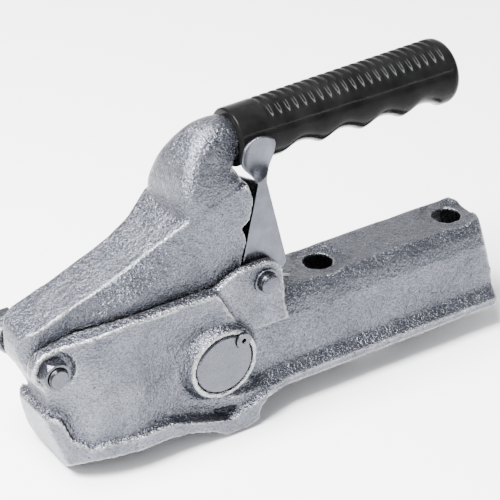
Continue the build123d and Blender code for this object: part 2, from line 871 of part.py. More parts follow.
# Wedge that holds the jaw's tail, its stem riveted into the handle's web
with BuildPart() as locking_wedge:
    wedge_rear_x = tail_front_x - wedge_gap / cos(radians(wedge_angle))
    with BuildSketch(Plane.XZ):
        with BuildLine():
            Polyline(
                (wedge_rear_x + (wedge_top_z - tail_top_z + 2) * wedge_slope, wedge_top_z),
                (wedge_rear_x - (tail_top_z - 2 - tail_foot_z) * wedge_slope, tail_foot_z),
                (wedge_rear_x - 14, tail_foot_z),
                (wedge_rear_x - 17, wedge_top_z),
                close=True,
            )
        make_face()
    extrude(amount=wedge_half_width, both=True)
    with BuildSketch(Plane.XZ):
        with Locations(stem_centre):
            Rectangle(stem_length, stem_height)
    extrude(amount=wedge_stem_half, both=True)
    with Locations(*[across(x, stem_centre[1]) for x in rivet_xs]):
        Hole(wedge_rivet_d / 2)
finish(locking_wedge, "locking_wedge")

with BuildPart() as wedge_rivets:
    for x in rivet_xs:
        with BuildSketch(across(x, stem_centre[1])):
            Circle(wedge_rivet_d / 2)
        extrude(amount=web_half_width, both=True)
        for side in (-1, 1):
            with BuildSketch(across(x, stem_centre[1]).offset(side * web_half_width)):
                Circle(rivet_head_d / 2)
            extrude(amount=side * rivet_head, taper=25)
finish(wedge_rivets, "wedge_rivets")

# Spring that opens the jaw, coiled round its hub beside the slot's wall
with BuildPart() as jaw_spring:
    spring_y = jaw_half_width + 0.6 + jaw_wire_d / 2
    with BuildLine():
        jaw_coil = Helix(
            pitch=jaw_wire_d + 0.3,
            height=(jaw_wire_d + 0.3) * 1.25,
            radius=jaw_coil_r,
            center=(jaw_axis_x, spring_y, jaw_axis_z),
            direction=(0, 1, 0),
        )
    with BuildSketch(Plane(origin=jaw_coil @ 0, z_dir=jaw_coil % 0)):
        Circle(jaw_wire_d / 2)
    sweep()
finish(jaw_spring, "jaw_spring")

# Trigger: one pressed sheet, two sides joined by a web, and a finger tab
trigger_apex = (80.6, 117.0)
trigger_toe = (68.5, 66.6)
trigger_heel = (94.9, 64.0)
trigger_foot = (89.0, 57.0)
front_lean = degrees(atan2(trigger_apex[0] - 1.2 - trigger_toe[0], trigger_apex[1] - trigger_toe[1]))
web_depth = trigger_sheet / cos(radians(front_lean))
catch_rivet_places = [(side * catch_rivet_spacing / 2, catch_rivet_drop) for side in (-1, 1)]
catch_plane = Plane(
    origin=(trigger_toe[0] + (catch_z - trigger_toe[1]) * tan(radians(front_lean)), 0, catch_z),
    x_dir=(0, 1, 0),
    z_dir=(-cos(radians(front_lean)), 0, sin(radians(front_lean))),
)
with BuildPart() as trigger:
    with BuildSketch(Plane.XZ):
        with BuildLine():
            Polyline(
                trigger_toe,
                (trigger_axis_x - 8.5, trigger_axis_z - 3),
                (trigger_axis_x - 3, trigger_axis_z - 8.5),
                (trigger_axis_x + 6, trigger_axis_z - 8.5),
                trigger_foot,
                trigger_heel,
                (trigger_apex[0] + 1.2, trigger_apex[1]),
                (trigger_apex[0] - 1.2, trigger_apex[1]),
                close=True,
            )
        make_face()
    extrude(amount=trigger_half, both=True)
    with BuildSketch(Plane.XZ):
        with BuildLine():
            Polyline(
                (trigger_toe[0] + web_depth, trigger_axis_z - 20),
                (trigger_toe[0] + web_depth, trigger_toe[1]),
                (trigger_apex[0] - 1.2 + web_depth, trigger_apex[1]),
                (trigger_apex[0] + 20, trigger_apex[1] + 20),
                (trigger_heel[0] + 20, trigger_axis_z - 20),
                close=True,
            )
        make_face()
    extrude(amount=trigger_half - trigger_sheet, both=True, mode=Mode.SUBTRACT)
    with BuildSketch(Plane.YZ.offset(trigger_axis_x - 30)):
        with BuildLine():
            Polyline(
                (trigger_sheet - trigger_half, web_top_z),
                (trigger_half + 1, web_top_z - web_top_fall),
                (trigger_half + 1, web_top_z + 60),
                (trigger_sheet - trigger_half, web_top_z + 60),
                close=True,
            )
        make_face()
    extrude(amount=80, mode=Mode.SUBTRACT)
    with BuildSketch(Plane.XZ.offset(trigger_half - trigger_sheet)):
        with BuildLine():
            Spline((78.2, 108.0), (77.0, 114.0), (72.4, 119.6), (70.2, 124.5), (71.8, 130.0),
                   (76.5, 133.8), (82.5, 135.4), (87.2, 133.0), (87.3, 127.5), (84.8, 119.5),
                   (83.8, 108.0))
            Line((83.8, 108.0), (78.2, 108.0))
        make_face()
    extrude(amount=trigger_sheet)
    with Locations(across(trigger_axis_x, trigger_axis_z)):
        Hole(trigger_pin_d / 2 + running_gap)
    with BuildSketch(catch_plane):
        Rectangle(2 * catch_tooth_half, catch_tooth_height)
        with Locations(*catch_rivet_places):
            Circle(catch_rivet_d / 2)
    extrude(amount=10, both=True, mode=Mode.SUBTRACT)
finish(trigger, "trigger")

with BuildPart() as trigger_catch:
    with BuildSketch(catch_plane.offset(-trigger_sheet)):
        with Locations((0, catch_rivet_drop / 2)):
            Rectangle(2 * catch_half, catch_rivet_drop + 8)
    extrude(amount=-catch_thickness)
    with BuildSketch(catch_plane):
        Rectangle(2 * catch_tooth_half, catch_tooth_height)
    extrude(amount=catch_reach)
    with BuildSketch(catch_plane):
        Rectangle(2 * catch_tooth_half, catch_tooth_height)
    extrude(amount=-trigger_sheet)
    with BuildSketch(catch_plane):
        with Locations(*catch_rivet_places):
            Circle(catch_rivet_d / 2)
    extrude(amount=-trigger_sheet - catch_thickness, mode=Mode.SUBTRACT)
finish(trigger_catch, "trigger_catch")

with BuildPart() as catch_rivets:
    with BuildSketch(catch_plane):
        with Locations(*catch_rivet_places):
            Circle(catch_rivet_d / 2)
    extrude(amount=-trigger_sheet - catch_thickness)
    with BuildSketch(catch_plane.offset(-trigger_sheet - catch_thickness)):
        with Locations(*catch_rivet_places):
            Circle(rivet_head_d / 2)
    extrude(amount=-rivet_head, taper=25)
finish(catch_rivets, "catch_rivets")

# Spring that holds the trigger forward, coiled round its pin, one leg on the shank
leg_foot_z = shank_top_z + trigger_wire_d / 2 + 0.05
leg_run = leg_foot_x - trigger_axis_x
leg_drop = trigger_axis_z - leg_foot_z
leg_length = sqrt(leg_run ** 2 + leg_drop ** 2 - trigger_coil_r ** 2)
leg_turn = 270 - degrees(atan2(leg_drop, leg_run) + atan2(leg_length, trigger_coil_r))
with BuildPart() as trigger_spring:
    with BuildLine():
        trigger_coil = Helix(
            pitch=trigger_wire_d + 0.4,
            height=(trigger_wire_d + 0.4) * (trigger_turns + leg_turn / 360),
            radius=trigger_coil_r,
            center=(trigger_axis_x, trigger_coil_y, trigger_axis_z),
            direction=(0, 1, 0),
            lefthand=True,
        )
    with BuildSketch(Plane(origin=trigger_coil @ 0, z_dir=trigger_coil % 0)):
        Circle(trigger_wire_d / 2)
    sweep()
    with BuildSketch(Plane(origin=trigger_coil @ 1, z_dir=trigger_coil % 1)):
        Circle(trigger_wire_d / 2)
    extrude(amount=leg_length)
finish(trigger_spring, "trigger_spring")

with BuildPart() as trigger_pin:
    with BuildSketch(across(trigger_axis_x, trigger_axis_z)):
        Circle(trigger_pin_d / 2)
    extrude(amount=trigger_pin_reach, both=True)
    chamfer(trigger_pin.edges().filter_by(GeomType.CIRCLE), trigger_pin_chamfer)
finish(trigger_pin, "trigger_pin")

with BuildPart() as trigger_washers:
    for side in (-1, 1):
        with BuildSketch(across(trigger_axis_x, trigger_axis_z).offset(side * slot_half_width)):
            Circle(trigger_washer_d / 2)
            Circle(trigger_pin_d / 2, mode=Mode.SUBTRACT)
        extrude(amount=-side * trigger_washer_thickness)
finish(trigger_washers, "trigger_washers")

with BuildPart() as trigger_clip:
    for side in (-1, 1):
        with BuildSketch(across(trigger_axis_x, trigger_axis_z).offset(side * ear_half_width)):
            Circle(clip_d / 2)
            Circle(trigger_pin_d / 2, mode=Mode.SUBTRACT)
        extrude(amount=side * clip_thickness)
finish(trigger_clip, "trigger_clip")


os.makedirs("parts", exist_ok=True)
for made in parts_made:
    export_step(made, f"parts/{made.label}.step")
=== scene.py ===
# %% [markdown]
# # A ball coupling head
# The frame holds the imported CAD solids, in metres. This script keeps them in place and gives them
# the surfaces of the real thing: a rounded, hot-dip galvanised sand casting, a gloss black grip,
# a pressed trigger and bright zinc-plated fasteners. The camera and the light come first, so that
# every later step can be looked at.

import bmesh
import bpy
import numpy as np
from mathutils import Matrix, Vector


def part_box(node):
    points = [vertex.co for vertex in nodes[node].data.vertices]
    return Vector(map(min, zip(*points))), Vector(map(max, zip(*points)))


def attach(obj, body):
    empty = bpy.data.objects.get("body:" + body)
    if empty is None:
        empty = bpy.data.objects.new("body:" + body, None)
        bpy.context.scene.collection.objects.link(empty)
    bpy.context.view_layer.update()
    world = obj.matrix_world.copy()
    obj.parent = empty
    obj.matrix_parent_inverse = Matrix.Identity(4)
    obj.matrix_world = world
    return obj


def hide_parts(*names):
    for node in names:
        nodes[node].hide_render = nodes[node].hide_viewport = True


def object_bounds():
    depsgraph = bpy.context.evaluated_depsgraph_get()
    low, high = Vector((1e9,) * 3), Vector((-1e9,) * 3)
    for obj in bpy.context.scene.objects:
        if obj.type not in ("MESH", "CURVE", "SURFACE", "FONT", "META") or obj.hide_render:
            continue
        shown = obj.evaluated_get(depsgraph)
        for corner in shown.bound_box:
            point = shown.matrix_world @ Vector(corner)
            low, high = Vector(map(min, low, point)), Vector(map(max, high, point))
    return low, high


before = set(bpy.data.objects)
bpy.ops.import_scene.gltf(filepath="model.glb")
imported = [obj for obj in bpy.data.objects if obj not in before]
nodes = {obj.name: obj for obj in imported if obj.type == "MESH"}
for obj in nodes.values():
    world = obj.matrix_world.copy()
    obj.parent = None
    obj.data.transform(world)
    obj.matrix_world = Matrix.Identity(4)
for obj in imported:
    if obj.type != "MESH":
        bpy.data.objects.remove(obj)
cad_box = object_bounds()
mm = 0.001
print("nodes", len(nodes), "box", cad_box)

# %% [markdown]
# The photograph was taken from close by, so its lines run together. A long lens at 1.1 m gives the
# same perspective. The camera stands in front of the head, on the nut's side, and looks down at it.

# %% Camera
camera_place = Vector((-440.83, -803.18, 662.69)) * mm
view_direction = Vector((0.4656, 0.7088, -0.5299))
camera_data = bpy.data.cameras.new("camera")
camera_data.sensor_width = 36.0
camera_data.lens = 168.5
camera = bpy.data.objects.new("camera", camera_data)
bpy.context.collection.objects.link(camera)
camera.location = camera_place
camera.rotation_euler = view_direction.to_track_quat("-Z", "Y").to_euler()
bpy.context.scene.camera = camera
print("camera", tuple(round(c, 3) for c in camera.location))

# %% [markdown]
# The floor is a plain pale sheet that bends up behind the object, as paper does in a studio, so the
# background has no horizon. Its section is a straight run, a quarter circle and a straight rise.

# %% Floor
def swept_sheet(name, section, half_width, across, origin):
    """Sheet: each point of the section (along, up) is carried straight along the across direction."""
    along = np.array([-across[1], across[0], 0.0])
    side = np.array([across[0], across[1], 0.0])
    points = origin + section[:, :1] * along + section[:, 1:] * np.array([0, 0, 1.0])
    verts = np.concatenate([points - side * half_width, points + side * half_width])
    count = len(section)
    low = np.arange(count - 1)
    faces = np.stack([low, low + count, low + count + 1, low + 1], axis=1)
    mesh = bpy.data.meshes.new(name)
    mesh.from_pydata(verts.tolist(), [], faces.tolist())
    mesh.shade_smooth()
    sheet = bpy.data.objects.new(name, mesh)
    bpy.context.collection.objects.link(sheet)
    return sheet


front_edge, bend_start, bend_radius, wall_top = -2.5, 1.2, 0.8, 3.0
floor_gap = 0.0002
bend = np.linspace(0, np.pi / 2, 24)
floor_section = np.concatenate([
    [[front_edge, 0.0], [bend_start, 0.0]],
    np.stack([
        bend_start + bend_radius * np.sin(bend),
        bend_radius - bend_radius * np.cos(bend),
    ], axis=1),
    [[bend_start + bend_radius, wall_top]],
])
floor_z = cad_box[0][2] - floor_gap
floor = swept_sheet("floor", floor_section, half_width=3.0, across=(0.84, -0.55),
                    origin=np.array([0.08, 0.0, floor_z]))
paper = bpy.data.materials.new("white_paper")
paper.use_nodes = True
paper_inputs = paper.node_tree.nodes["Principled BSDF"].inputs
paper_inputs["Base Color"].default_value = (0.95, 0.95, 0.95, 1.0)
paper_inputs["Roughness"].default_value = 0.9
floor.data.materials.append(paper)
print("floor at", round(floor_z, 4))

# %% [markdown]
# Soft light: a dim white room, one large lamp high over the front for the top faces, a weaker one
# from the camera's left, and a long thin one from the right, which draws the fine bright line along
# the grip. A black gloss surface only shows what it mirrors, so that line is the lamp.

# %% Light
world = bpy.data.worlds.new("studio")
world.use_nodes = True
room = world.node_tree.nodes["Background"].inputs
room["Color"].default_value = (0.94, 0.96, 1.0, 1.0)
room["Strength"].default_value = 0.5
bpy.context.scene.world = world


def soft_lamp(name, place, target, size, power, height=None):
    """A lamp at place that faces target, square or size by height (metres), power in watts."""
    data = bpy.data.lights.new(name, "AREA")
    data.size = size
    if height:
        data.shape = "RECTANGLE"
        data.size_y = height
    data.energy = power
    lamp = bpy.data.objects.new(name, data)
    lamp.location = place
    lamp.rotation_euler = (Vector(target) - Vector(place)).to_track_quat("-Z", "Y").to_euler()
    bpy.context.collection.objects.link(lamp)
    return lamp


middle = (0.09, 0.0, 0.05)
lamps = [
    soft_lamp("lamp_above", (-0.50, -0.05, 1.20), middle, size=0.7, power=140.0),
    soft_lamp("lamp_left", (-1.2, -0.5, 0.9), middle, size=0.7, power=12.0),
    soft_lamp("lamp_right", (0.72, -1.25, 0.50), middle, size=1.3, power=5.0, height=0.05),
]
print("lamps", len(lamps))

# %% [markdown]
# ## Finishes
# Each finish is a small node tree on Object coordinates, which are metres here, so a noise scale of
# 1000 gives grains of a millimetre. A few helpers keep the trees short.

# %% Node helpers
def new_finish(name, metallic, ior=1.45):
    """New principled material, with its node tree, its shader and the Object coordinates."""
    material = bpy.data.materials.new(name)
    material.use_nodes = True
    tree = material.node_tree
    shader = tree.nodes["Principled BSDF"]
    shader.inputs["Metallic"].default_value = metallic
    shader.inputs["IOR"].default_value = ior
    coords = tree.nodes.new("ShaderNodeTexCoord").outputs["Object"]
    return material, tree, shader, coords


def noise(tree, coords, scale, detail=4.0, roughness=0.55, stretch=None):
    """Noise value between 0 and 1; stretch scales the coordinates along each axis first."""
    if stretch:
        mapping = tree.nodes.new("ShaderNodeMapping")
        mapping.inputs["Scale"].default_value = stretch
        tree.links.new(coords, mapping.inputs["Vector"])
        coords = mapping.outputs["Vector"]
    node = tree.nodes.new("ShaderNodeTexNoise")
    node.inputs["Scale"].default_value = scale
    node.inputs["Detail"].default_value = detail
    node.inputs["Roughness"].default_value = roughness
    tree.links.new(coords, node.inputs["Vector"])
    return node.outputs["Fac"]


def attribute(tree, name):
    """A number that the mesh carries at each vertex."""
    node = tree.nodes.new("ShaderNodeAttribute")
    node.attribute_name = name
    return node.outputs["Fac"]


def ramp(tree, value, stops):
    """Colour ramp through (position, grey or colour) stops."""
    node = tree.nodes.new("ShaderNodeValToRGB")
    elements = node.color_ramp.elements
    while len(elements) < len(stops):
        elements.new(0.5)
    for element, (position, tone) in zip(elements, stops):
        element.position = position
        element.color = (*tone, 1.0) if isinstance(tone, tuple) else (tone, tone, tone, 1.0)
    tree.links.new(value, node.inputs["Fac"])
    return node.outputs["Color"]


def mix(tree, factor, low, high, kind="MIX"):
    """Mixes two colour outputs by a value output or a number."""
    node = tree.nodes.new("ShaderNodeMix")
    node.data_type = "RGBA"
    node.blend_type = kind
    if isinstance(factor, (int, float)):
        node.inputs["Factor"].default_value = factor
    else:
        tree.links.new(factor, node.inputs["Factor"])
    tree.links.new(low, node.inputs["A"])
    tree.links.new(high, node.inputs["B"])
    return node.outputs["Result"]


def bump(tree, shader, *layers):
    """Stacks (height output, metres) layers into the shader's normal."""
    normal = None
    for height, distance in layers:
        node = tree.nodes.new("ShaderNodeBump")
        node.inputs["Strength"].default_value = 1.0
        node.inputs["Distance"].default_value = distance
        tree.links.new(height, node.inputs["Height"])
        if normal:
            tree.links.new(normal, node.inputs["Normal"])
        normal = node.outputs["Normal"]
    tree.links.new(normal, shader.inputs["Normal"])


print("helpers ready")

# %% [markdown]
# Hot-dip zinc on a sand casting: the sand's grain shows through as fine bright and dark specks, the
# zinc pools in dull patches, and small pits stay dark. Edges are worn bright and get a painted
# highlight on top; corners are darkened by grime and by painted shade. The mesh carries two numbers
# for this: wear, which is 0.5 where it is flat, more on an edge and less in a corner, and inside,
# which is 1 in the bores and in the socket.

# %% Galvanised casting
def sand_cast_zinc(name, dull, bright, rough=1.0):
    """Sand-cast zinc: toned patches and specks, painted highlight on worn edges, painted shade on
    grimy corners and insides.
    """
    material, tree, shader, coords = new_finish(name, 0.95)
    specks = noise(tree, coords, 1000.0, 2.0, 0.6)
    grain = noise(tree, coords, 420.0, 3.0, 0.6)
    patches = noise(tree, coords, 60.0, 5.0, 0.6)
    wear_and_painted_light = attribute(tree, "wear_and_painted_light")
    base = ramp(tree, patches, [(0.30, dull), (0.70, bright)])
    speck_tone = ramp(tree, specks, [(0.34, 0.60), (0.50, 0.92), (0.60, 1.0)])
    specked = mix(tree, rough, base, speck_tone, "MULTIPLY")
    pit_tone = ramp(tree, grain, [(0.30, 0.40), (0.36, 1.0)])
    pitted = mix(tree, rough, specked, pit_tone, "MULTIPLY")
    # Edges: worn bright and given a painted highlight, more the more a vertex stands out.
    rubbed_and_highlight_tone = ramp(tree, grain, [(0.3, 0.26), (0.6, 0.66)])
    edge_wear_and_highlight = ramp(tree, wear_and_painted_light, [(0.62, 0.0), (0.96, 0.40)])
    edges_brightened = mix(tree, edge_wear_and_highlight, pitted, rubbed_and_highlight_tone)
    # Corners: grime and painted shade, darker the deeper a vertex lies below its neighbours.
    corner_grime_and_shade = ramp(tree, wear_and_painted_light, [(0.05, 0.70), (0.34, 1.0)])
    corner_darkened = mix(tree, 1.0, edges_brightened, corner_grime_and_shade, "MULTIPLY")
    # Insides: painted shade, with grime in the casting's bores, channel and socket.
    grime_and_painted_shade = ramp(tree, attribute(tree, "inside"), [(0.0, 1.0), (1.0, 0.16)])
    insides_darkened = mix(tree, 1.0, corner_darkened, grime_and_painted_shade, "MULTIPLY")
    sheen = ramp(tree, specks, [(0.35, 0.34), (0.65, 0.19)])
    tree.links.new(insides_darkened, shader.inputs["Base Color"])
    tree.links.new(sheen, shader.inputs["Roughness"])
    bump(tree, shader, (specks, 0.00065 * rough), (grain, 0.0007 * rough), (patches, 0.0006))
    return material


galvanised = sand_cast_zinc("galvanised", (0.082, 0.086, 0.103), (0.140, 0.146, 0.171))
machined_zinc = sand_cast_zinc(
    "machined_zinc", (0.060, 0.063, 0.075), (0.085, 0.089, 0.103), rough=0.30)
jaw_iron = sand_cast_zinc("jaw_iron", (0.14, 0.14, 0.15), (0.24, 0.24, 0.25))
print("casting finishes", galvanised.name, machined_zinc.name, jaw_iron.name)

# %% [markdown]
# The small steel parts: bright zinc plate on turned or pressed steel. The lines of the tool or of
# the rolled sheet are a noise whose coordinates are shrunk along one axis, which draws it out.

# %% Steel finishes
def plated_steel(name, tone, roughness, stretch, line_scale=400.0):
    """Metal with a fine noise, drawn out along an axis that stretch shrinks, and dull patches."""
    material, tree, shader, coords = new_finish(name, 1.0)
    lines = noise(tree, coords, line_scale, 3.0, 0.6, stretch)
    dull = noise(tree, coords, 120.0, 4.0)
    dark = tuple(c * 0.72 for c in tone)
    patch_tone = ramp(tree, dull, [(0.3, dark), (0.62, tone)])
    sheen = ramp(tree, lines, [(0.3, roughness * 0.75), (0.7, roughness * 1.3)])
    tree.links.new(patch_tone, shader.inputs["Base Color"])
    tree.links.new(sheen, shader.inputs["Roughness"])
    bump(tree, shader, (lines, 0.00004), (dull, 0.00012))
    return material


zinc_plate = plated_steel("zinc_plate", (0.28, 0.29, 0.32), 0.34, (1.0, 0.1, 1.0))
pressed_sheet = plated_steel(
    "pressed_sheet", (0.084, 0.088, 0.103), 0.26, (1.0, 1.0, 0.25), line_scale=260.0)
spring_wire = plated_steel("spring_wire", (0.55, 0.56, 0.60), 0.28, (1.0, 1.0, 1.0))
hard_steel = plated_steel("hard_steel", (0.34, 0.34, 0.36), 0.38, (1.0, 1.0, 1.0))
bush_bronze = plated_steel("bush_bronze", (0.66, 0.47, 0.23), 0.35, (1.0, 0.2, 1.0))
print("steels 5")

# %% [markdown]
# The grip is a glossy black moulding. It mirrors only weakly, as its low index of refraction says,
# and handling marks soften it.

# %% Black grip
black_grip, tree, shader, coords = new_finish("gloss_black", 0.0, ior=1.12)
smears = noise(tree, coords, 90.0, 5.0)
scuffs = noise(tree, coords, 700.0, 3.0, 0.7, stretch=(0.25, 1.0, 1.0))
grip_tone = ramp(tree, smears, [(0.3, 0.003), (0.7, 0.007)])
grip_sheen = ramp(tree, smears, [(0.35, 0.10), (0.7, 0.20)])
tree.links.new(grip_tone, shader.inputs["Base Color"])
tree.links.new(grip_sheen, shader.inputs["Roughness"])
bump(tree, shader, (scuffs, 0.00002), (smears, 0.00015))
print("grip finish", black_grip.name)

# %% [markdown]
# ## The castings
# CAD gives the castings sharp edges, but molten iron in a sand mould never does. A copy of the solid
# is merged, remeshed into even cells and smoothed, which rounds every edge and fills every corner.
# A formula can't give that to such a shape, so here the modifiers do the work.

# %% Rounded castings
def numbers(collection, field, width):
    """One field of every element of a mesh as a numpy array, width numbers to a row."""
    values = np.empty(len(collection) * width)
    collection.foreach_get(field, values)
    return values.reshape(-1, width)


def rounded_copy(name, node, body, cell, rounds):
    """Copy of a CAD node with all edges rounded: remeshed to even cells, averaged with neighbours."""
    weld_distance = 2e-6
    mesh = nodes[node].data.copy()
    mesh.materials.clear()
    shell = bmesh.new()
    shell.from_mesh(mesh)
    bmesh.ops.remove_doubles(shell, verts=shell.verts, dist=weld_distance)
    shell.to_mesh(mesh)
    shell.free()
    piece = bpy.data.objects.new(name, mesh)
    bpy.context.collection.objects.link(piece)
    remesh = piece.modifiers.new("cells", "REMESH")
    remesh.mode = "VOXEL"
    remesh.voxel_size = cell
    smooth = piece.modifiers.new("rounding", "SMOOTH")
    smooth.factor = 0.5
    smooth.iterations = rounds
    depsgraph = bpy.context.evaluated_depsgraph_get()
    finished = bpy.data.meshes.new_from_object(piece.evaluated_get(depsgraph))
    piece.modifiers.clear()
    piece.data = finished
    finished.shade_smooth()
    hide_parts(node)
    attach(piece, body)
    print(name, "triangles", sum(len(p.vertices) - 2 for p in finished.polygons))
    return piece


casting = rounded_copy("casting", "coupling_body", "body", cell=1.05 * mm, rounds=3)
handle = rounded_copy("handle_casting", "handle_lever", "handle", cell=0.9 * mm, rounds=3)
jaw = rounded_copy("jaw_casting", "ball_jaw", "jaw", cell=0.8 * mm, rounds=3)
pin = rounded_copy("pin_turning", "jaw_pin", "body", cell=0.5 * mm, rounds=2)

# %% [markdown]
# Edges are worn bright and get a painted highlight, and corners keep their grime and get painted
# shade, so the mesh has to know which is which. A vertex on an edge stands out from the mean of its
# neighbours and one in a corner lies below it.

# %% Wear and painted light
def neighbour_mean(values, edges, count):
    """For each vertex, the mean of a quantity over the vertices that an edge joins it to."""
    first, second = edges[:, 0].astype(int), edges[:, 1].astype(int)
    touching = np.bincount(first, minlength=count) + np.bincount(second, minlength=count)
    total = np.stack([
        np.bincount(first, weights=column[second], minlength=count)
        + np.bincount(second, weights=column[first], minlength=count)
        for column in values.T
    ], axis=1)
    return total / np.maximum(touching, 1)[:, None]


def carry(mesh, name, values):
    """Stores one number per vertex on the mesh."""
    layer = mesh.attributes.new(name, "FLOAT", "POINT")
    layer.data.foreach_set("value", values.astype(np.float32))


def measure_wear_and_painted_light(mesh, gain=4500.0):
    """Wear and painted light: 0.5 plus gain x height over the neighbours' mean, cut off at 0 and at 1.

    The height is metres along the normal, 0.4 of a vertex's own and 0.6 of its neighbours' mean.
    """
    own_share, neighbour_share = 0.4, 0.6
    points = numbers(mesh.vertices, "co", 3)
    normals = numbers(mesh.vertex_normals, "vector", 3)
    edges = numbers(mesh.edges, "vertices", 2)
    count = len(points)
    height = ((points - neighbour_mean(points, edges, count)) * normals).sum(axis=1)[:, None]
    height = own_share * height + neighbour_share * neighbour_mean(height, edges, count)
    wear_and_painted_light = np.clip(0.5 + gain * height[:, 0], 0, 1)
    carry(mesh, "wear_and_painted_light", wear_and_painted_light)
    return wear_and_painted_light


print("wear helpers ready")

# %% [markdown]
# A casting is never quite even: the sand moves a little and the zinc runs. A sum of long and short
# waves in different directions moves each vertex along its normal, by 0.4 mm at most. The waves
# only ever sink the surface, so the outermost faces stay inside the CAD box.

# %% Uneven surface
def unevenness(points, seed, waves, longest, shortest, height):
    """Sum of sine waves of random direction, each height x (its length / longest) ^ 0.6 high."""
    chance = np.random.default_rng(seed)
    total = np.zeros(len(points))
    for length in np.geomspace(longest, shortest, waves):
        direction = chance.normal(size=3)
        direction /= np.linalg.norm(direction)
        phase = chance.uniform(0, 2 * np.pi)
        share = (length / longest) ** 0.6
        total += share * np.sin(points @ direction * 2 * np.pi / length + phase)
    return height * total


def cast_surface(piece, finish, seed, height=0.05 * mm):
    """Moves the surface by soft waves less 1.6 x height, never outwards, then gives wear and finish.

    Returns where the vertices were before they moved.
    """
    sink = 1.6 * height
    mesh = piece.data
    points = numbers(mesh.vertices, "co", 3)
    normals = numbers(mesh.vertex_normals, "vector", 3)
    shift = unevenness(points, seed, waves=14, longest=30 * mm, shortest=3.5 * mm, height=height)
    shift = np.minimum(shift - sink, 0.0)
    mesh.vertices.foreach_set("co", (points + normals * shift[:, None]).ravel())
    mesh.update()
    wear_and_painted_light = measure_wear_and_painted_light(mesh)
    mesh.materials.append(finish)
    print(piece.name, "deepest", round(-shift.min() / mm, 3), "mm, wear",
          wear_and_painted_light.min().round(3), wear_and_painted_light.std().round(3), wear_and_painted_light.max().round(3))
    return points


casting_points = cast_surface(casting, galvanised, seed=5)
cast_surface(handle, galvanised, seed=8)
cast_surface(jaw, jaw_iron, seed=11)
cast_surface(pin, machined_zinc, seed=3, height=0.01 * mm)

# %% [markdown]
# The bores, the channel and the socket see little light and hold grease and road grime, so they get
# grime and painted shade. The attribute inside marks them by where they are.

# %% Dark insides
socket_reach = 26.2 * mm
mouth_reach = 26.4 * mm
channel_roof = 32.2 * mm
channel_front, channel_rear = 30 * mm, 221.5 * mm
channel_half_width = 16.2 * mm
hole_places_x = (127 * mm, 207 * mm)
hole_reach = 8.0 * mm
shank_top = 41.2 * mm
x, y, z = casting_points.T
in_socket = (np.linalg.norm(casting_points, axis=1) < socket_reach)
in_socket |= (np.hypot(x, y) < mouth_reach) & (z < 0)
in_channel = (np.abs(y) < channel_half_width) & (z < channel_roof + 0.6 * mm)
in_channel &= (x > channel_front) & (x < channel_rear)
in_holes = np.zeros(len(x), dtype=bool)
for hole_x in hole_places_x:
    in_holes |= (np.hypot(x - hole_x, y) < hole_reach) & (z < shank_top)
in_holes &= z > channel_roof - 1 * mm
is_inside = in_socket | in_channel | in_holes
carry(casting.data, "inside", is_inside.astype(float))
print("inside vertices", int(is_inside.sum()))

# %% [markdown]
# ## The pressed trigger
# The press leaves rounded edges, and its finger tab is dished like a spoon so that a finger finds it.
# The dish is a paraboloid: the sheet moves aside by its depth times one minus the square of how far
# out a point lies, in shares of the dish's half width and half height.

# %% Trigger
def dish(points, centre, reach, depth, where):
    """Moves the points picked by where along y by depth x (1 - share squared), zero outside reach."""
    share_squared = (((points[:, 0] - centre[0]) / reach[0]) ** 2
                     + ((points[:, 2] - centre[1]) / reach[1]) ** 2)
    moved = points.copy()
    moved[:, 1] += np.where(where, depth * np.clip(1 - share_squared, 0, None), 0)
    return moved


tab_foot_z = 106 * mm
tab_centre = (77.5 * mm, 125.5 * mm)
tab_reach = (8.6 * mm, 13 * mm)
dish_depth = 4.2 * mm
pressing = rounded_copy("trigger_pressing", "trigger", "trigger", cell=0.5 * mm, rounds=2)
trigger_points = numbers(pressing.data.vertices, "co", 3)
on_tab = (trigger_points[:, 1] < 0) & (trigger_points[:, 2] > tab_foot_z)
dished = dish(trigger_points, tab_centre, tab_reach, dish_depth, on_tab)
pressing.data.vertices.foreach_set("co", dished.ravel())
pressing.data.update()
pressing.data.materials.append(pressed_sheet)
print("vertices of the tab", int(on_tab.sum()))

# %% [markdown]
# ## Bolt, nut and washer
# A cut thread is a helix: the radius falls and rises once per pitch along the bolt and once per turn
# around it. The nut's corners are rounded off by the zinc.

# %% Bolt, nut and washer
def cut_thread(points, axis, crest, pitch, depth, where):
    """Radius less depth x (0.5 + 0.5 cos(2 pi y / pitch + angle)), for points close to the crest."""
    out = points[:, [0, 2]] - np.array(axis)
    radius = np.linalg.norm(out, axis=1)
    angle = np.arctan2(out[:, 1], out[:, 0])
    groove = depth * (0.5 + 0.5 * np.cos(2 * np.pi * points[:, 1] / pitch + angle))
    near_crest = (radius > crest - 0.7 * mm) & (radius < crest + 0.3 * mm)
    groove = np.where(where & near_crest, groove, 0)
    moved = points.copy()
    moved[:, [0, 2]] -= out / np.maximum(radius, 1e-6)[:, None] * groove[:, None]
    return moved


bolt_crest = 5.0 * mm
thread_pitch, thread_depth = 1.5 * mm, 0.6 * mm
thread_past_nut = 4 * mm
thread_shade, shade_from_radius = 0.75, 4.35 * mm
bolt = rounded_copy("bolt_turning", "lever_bolt", "body", cell=0.35 * mm, rounds=1)
bolt_points = numbers(bolt.data.vertices, "co", 3)
nut_low, nut_high = (np.array(corner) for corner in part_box("lever_nut"))
nut_middle = (nut_low + nut_high) / 2
bolt_axis = (nut_middle[0], nut_middle[2])
has_thread = bolt_points[:, 1] < nut_high[1] + thread_past_nut
threaded = cut_thread(
    bolt_points, bolt_axis, bolt_crest, thread_pitch, thread_depth, has_thread)
bolt.data.vertices.foreach_set("co", threaded.ravel())
bolt_radius = np.hypot(bolt_points[:, 0] - bolt_axis[0], bolt_points[:, 2] - bolt_axis[1])
cast_surface(bolt, machined_zinc, seed=21, height=0.002 * mm)
